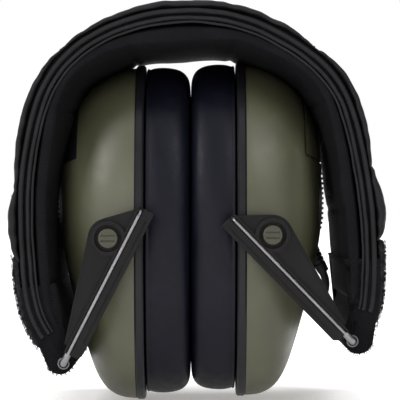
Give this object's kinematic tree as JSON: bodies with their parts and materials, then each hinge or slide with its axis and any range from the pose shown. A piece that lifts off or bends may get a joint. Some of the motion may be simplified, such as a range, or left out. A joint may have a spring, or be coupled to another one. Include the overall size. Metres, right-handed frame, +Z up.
{
  "type": "earmuff hearing protector",
  "caption": "Folding padded-headband earmuffs with domed ear cups, soft ear cushions, wire arms with sliders, battery door and volume knob.",
  "frame": {"origin": "on the floor, under the middle of the folded earmuff", "axes": "+Z up towards the crown of the headband, +X to the wearer-side right of the front view, +Y to the back, along the fold hinges"},
  "size_m": [0.1156, 0.0924, 0.124],
  "materials": {
    "black_plastic": "matte",
    "board": "gloss",
    "cell": "satin",
    "contact": "satin",
    "cup_shell": "satin",
    "cushion_skin": "satin",
    "fabric": "matte",
    "foam": "matte",
    "hook_tape": "matte",
    "pin_cap": "satin",
    "rubber": "matte",
    "slider_plastic": "satin",
    "spring_steel": "satin",
    "steel_wire": "polished"
  },
  "bodies": {
    "headband": {"band_core": "black_plastic", "band_inner_pad": "fabric", "band_outer_cover": "fabric", "band_spring_front": "spring_steel", "band_spring_rear": "spring_steel"},
    "left_band_end": {"left_end_block": "black_plastic", "left_end_binding": "fabric", "left_closure_strip": "hook_tape"},
    "left_arm": {"left_arm_wire": "steel_wire"},
    "left_yoke": {"left_slider_front": "slider_plastic", "left_slider_rear": "slider_plastic"},
    "left_cup": {"left_shell": "cup_shell", "left_grip_plate": "rubber", "left_back_plate": "black_plastic", "left_plate_screws": "contact", "left_cushion": "cushion_skin", "left_foam_liner": "foam", "left_speaker": "black_plastic", "left_microphone": "black_plastic", "left_pivot_pin_front": "pin_cap", "left_pivot_pin_rear": "pin_cap", "battery_cells": "cell", "battery_contacts": "contact", "circuit_board": "board"},
    "door": {"battery_door": "black_plastic"},
    "knob": {"volume_knob": "rubber"},
    "right_band_end": {"right_end_block": "black_plastic", "right_end_binding": "fabric", "right_closure_strip": "hook_tape"},
    "right_arm": {"right_arm_wire": "steel_wire"},
    "right_yoke": {"right_slider_front": "slider_plastic", "right_slider_rear": "slider_plastic"},
    "right_cup": {"right_shell": "cup_shell", "right_grip_plate": "rubber", "right_back_plate": "black_plastic", "right_plate_screws": "contact", "right_cushion": "cushion_skin", "right_foam_liner": "foam", "right_speaker": "black_plastic", "right_microphone": "black_plastic", "right_pivot_pin_front": "pin_cap", "right_pivot_pin_rear": "pin_cap", "audio_jack": "black_plastic", "cable_boot": "rubber", "cup_cable": "rubber"}
  },
  "joints": [
    {"name": "left_band_flex", "type": "hinge", "parent": "headband", "child": "left_band_end", "pos_m": [-0.025, 0, 0.112], "axis": [0, 1, 0], "range_deg": [0, 32.05], "deforming": ["band_core", "band_inner_pad", "band_outer_cover", "band_spring_front", "band_spring_rear"]},
    {"name": "left_fold", "type": "hinge", "parent": "left_band_end", "child": "left_arm", "pos_m": [-0.04083, 0, 0.01412], "axis": [0, 1, 0], "range_deg": [0, 121], "deforming": ["left_cushion", "right_cushion"]},
    {"name": "left_size_slide", "type": "slide", "parent": "left_arm", "child": "left_yoke", "axis": [0.454, 0, 0.891], "range_m": [0, 0.02003]},
    {"name": "left_cup_swivel", "type": "hinge", "parent": "left_yoke", "child": "left_cup", "pos_m": [-0.0273, 0, 0.0519], "axis": [0, 1, 0], "range_deg": [-153.05, 0]},
    {"name": "battery_door_slide", "type": "slide", "parent": "left_cup", "child": "door", "axis": [0, 1, 0], "range_m": [0, 0.045]},
    {"name": "volume_knob_turn", "type": "hinge", "parent": "left_cup", "child": "knob", "pos_m": [-0.0276, 0, 0.0189], "axis": [0, 1, 0], "range_deg": [0, 300]},
    {"name": "right_band_flex", "type": "hinge", "parent": "headband", "child": "right_band_end", "pos_m": [0.025, 0, 0.112], "axis": [0, -1, 0], "range_deg": [0, 32.05]},
    {"name": "right_fold", "type": "hinge", "parent": "right_band_end", "child": "right_arm", "pos_m": [0.04625, 0, 0.02085], "axis": [0, -1, 0], "range_deg": [0, 103.7]},
    {"name": "right_size_slide", "type": "slide", "parent": "right_arm", "child": "right_yoke", "axis": [-0.6984, 0, 0.7157], "range_m": [0, 0.02003]},
    {"name": "right_cup_swivel", "type": "hinge", "parent": "right_yoke", "child": "right_cup", "pos_m": [0.0221, 0, 0.0529], "axis": [0, -1, 0], "range_deg": [-135.75, 0], "deforming": ["cup_cable"]}
  ],
  "couplings": [
    {"joint": "left_band_flex", "follows": "left_fold", "ratio": 0.2645},
    {"joint": "left_size_slide", "follows": "left_fold", "m_per_rad": 0.00947},
    {"joint": "left_cup_swivel", "follows": "left_fold", "ratio": -1.2645},
    {"joint": "right_band_flex", "follows": "right_fold", "ratio": 0.3086},
    {"joint": "right_size_slide", "follows": "right_fold", "m_per_rad": 0.01105},
    {"joint": "right_cup_swivel", "follows": "right_fold", "ratio": -1.3086}
  ]
}
